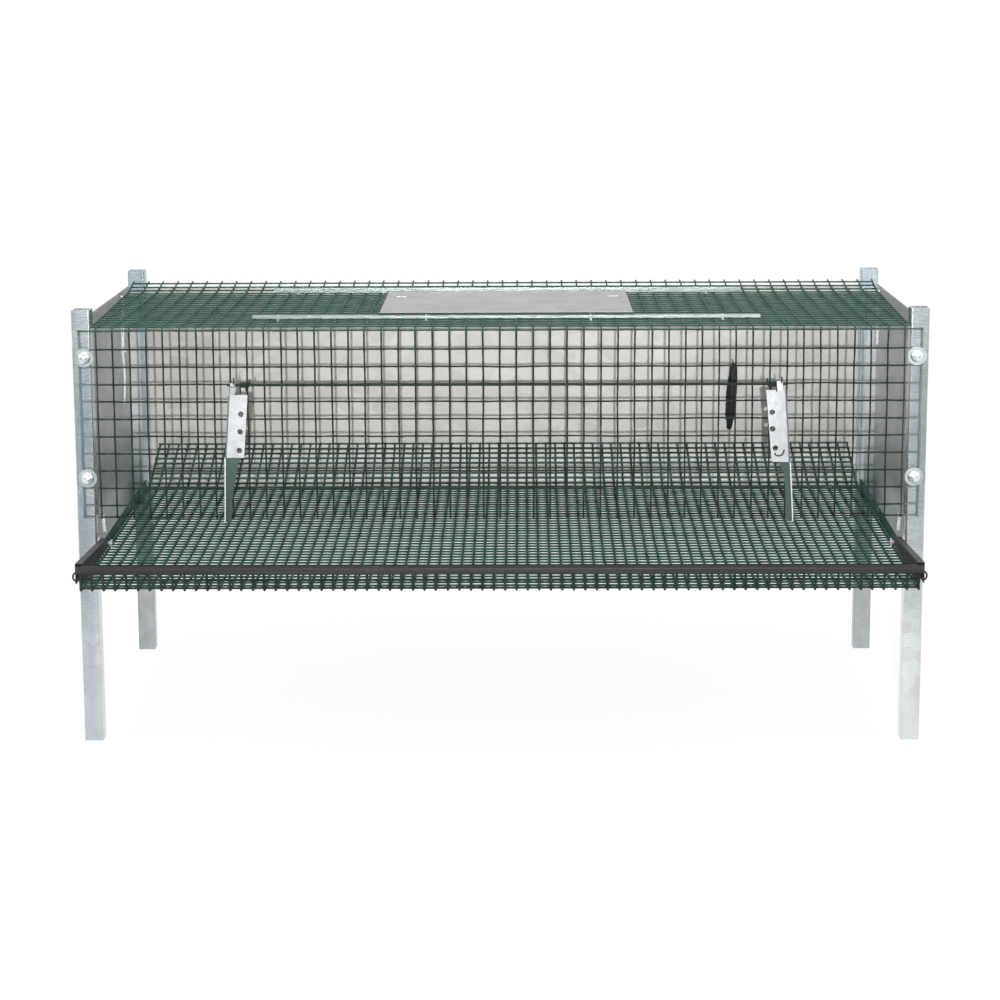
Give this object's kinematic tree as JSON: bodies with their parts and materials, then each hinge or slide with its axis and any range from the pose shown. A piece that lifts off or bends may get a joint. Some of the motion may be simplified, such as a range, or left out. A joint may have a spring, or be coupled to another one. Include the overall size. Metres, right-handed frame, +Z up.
{
  "type": "quail cage",
  "caption": "Low wire cage for quail on square-tube legs, with sheet sides, a sloping mesh floor that runs out as an egg tray and a sliding hatch in the top.",
  "frame": {"origin": "centre of the bounding box's bottom face, on the ground between the feet", "axes": "+X to the right along the front, +Y from the egg tray towards the rear wall, +Z up"},
  "size_m": [1, 0.6208, 0.52],
  "materials": {
    "zinc": "galvanised",
    "zinc_sheet": "smooth galvanised sheet",
    "bright_zinc": "bright zinc plate",
    "green_wire": "green plastic-coated wire",
    "dark_trim": "dark plastic edging"
  },
  "bodies": {
    "cage": {"front_left_post": "zinc", "front_right_post": "zinc", "rear_left_post": "zinc", "rear_right_post": "zinc", "left_side_panel": "zinc_sheet", "right_side_panel": "zinc_sheet", "rear_panel": "zinc_sheet", "front_mesh": "green_wire", "top_mesh": "green_wire", "floor_mesh": "green_wire", "floor_rear_flap": "green_wire", "tray_front_lip": "green_wire", "left_floor_lip": "green_wire", "right_floor_lip": "green_wire", "front_edging": "dark_trim", "left_edging": "dark_trim", "right_edging": "dark_trim", "left_feeder_bracket": "bright_zinc", "right_feeder_bracket": "bright_zinc", "feeder_rod": "green_wire", "front_rail": "zinc_sheet", "rear_rail": "zinc_sheet", "rail_clips": "bright_zinc", "front_bolts": "bright_zinc", "front_washers": "bright_zinc", "front_nuts": "bright_zinc", "tray_pegs": "bright_zinc", "drinker_clip": "dark_trim"},
    "door": {"sliding_door": "zinc_sheet"}
  },
  "joints": [
    {"name": "door_slide", "type": "slide", "parent": "cage", "child": "door", "axis": [1, 0, 0], "range_m": [-0.15, 0.15]}
  ]
}
